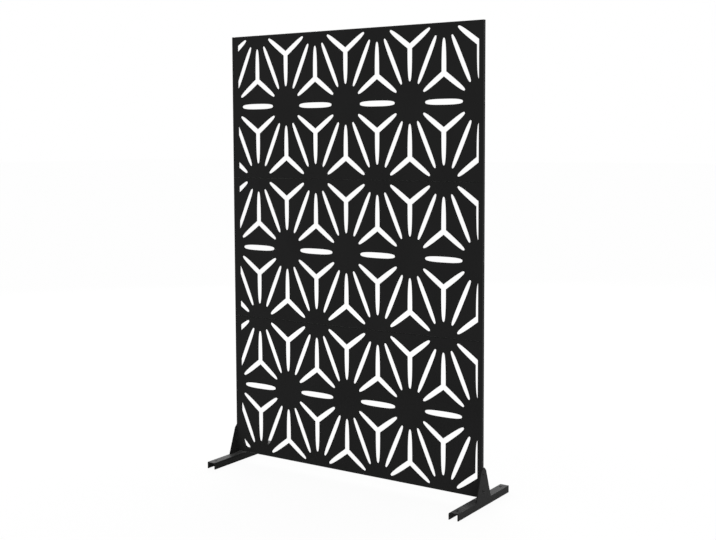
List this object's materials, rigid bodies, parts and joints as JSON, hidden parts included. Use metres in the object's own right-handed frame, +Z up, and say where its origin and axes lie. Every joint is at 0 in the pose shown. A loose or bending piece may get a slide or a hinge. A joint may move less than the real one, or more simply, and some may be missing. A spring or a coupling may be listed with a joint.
{
  "type": "laser cut metal screen",
  "caption": "Free-standing black steel screen of stacked folded panels with a laser cut hemp leaf lattice, bolted together and standing on flat channel feet.",
  "frame": {"origin": "on the floor, midway between the two feet and midway along their length", "axes": "+X across the screen towards its right foot as seen from the pierced face, +Y from the pierced face to the open back, +Z up"},
  "size_m": [1.2138, 0.407, 1.82],
  "materials": {
    "panel_coat": "fine matt black powder coat on folded steel sheet",
    "foot_coat": "fine matt black powder coat on steel plate",
    "weld_coat": "black powder coat over a weld bead",
    "fastener": "black zinc plated steel",
    "plug_nylon": "fine grained black nylon, moulded"
  },
  "bodies": {
    "root": {"top_panel": "panel_coat", "middle_panel": "panel_coat", "bottom_panel": "panel_coat", "left_foot_plate": "foot_coat", "left_foot_angle": "foot_coat", "left_foot_welds": "weld_coat", "right_foot_plate": "foot_coat", "right_foot_angle": "foot_coat", "right_foot_welds": "weld_coat", "upper_joint_bolts": "fastener", "upper_joint_washers": "fastener", "upper_joint_nuts": "fastener", "lower_joint_bolts": "fastener", "lower_joint_washers": "fastener", "lower_joint_nuts": "fastener", "left_foot_bolts": "fastener", "left_foot_washers": "fastener", "left_foot_nuts": "fastener", "right_foot_bolts": "fastener", "right_foot_washers": "fastener", "right_foot_nuts": "fastener", "left_link_plugs": "plug_nylon", "right_link_plugs": "plug_nylon"}
  },
  "joints": []
}
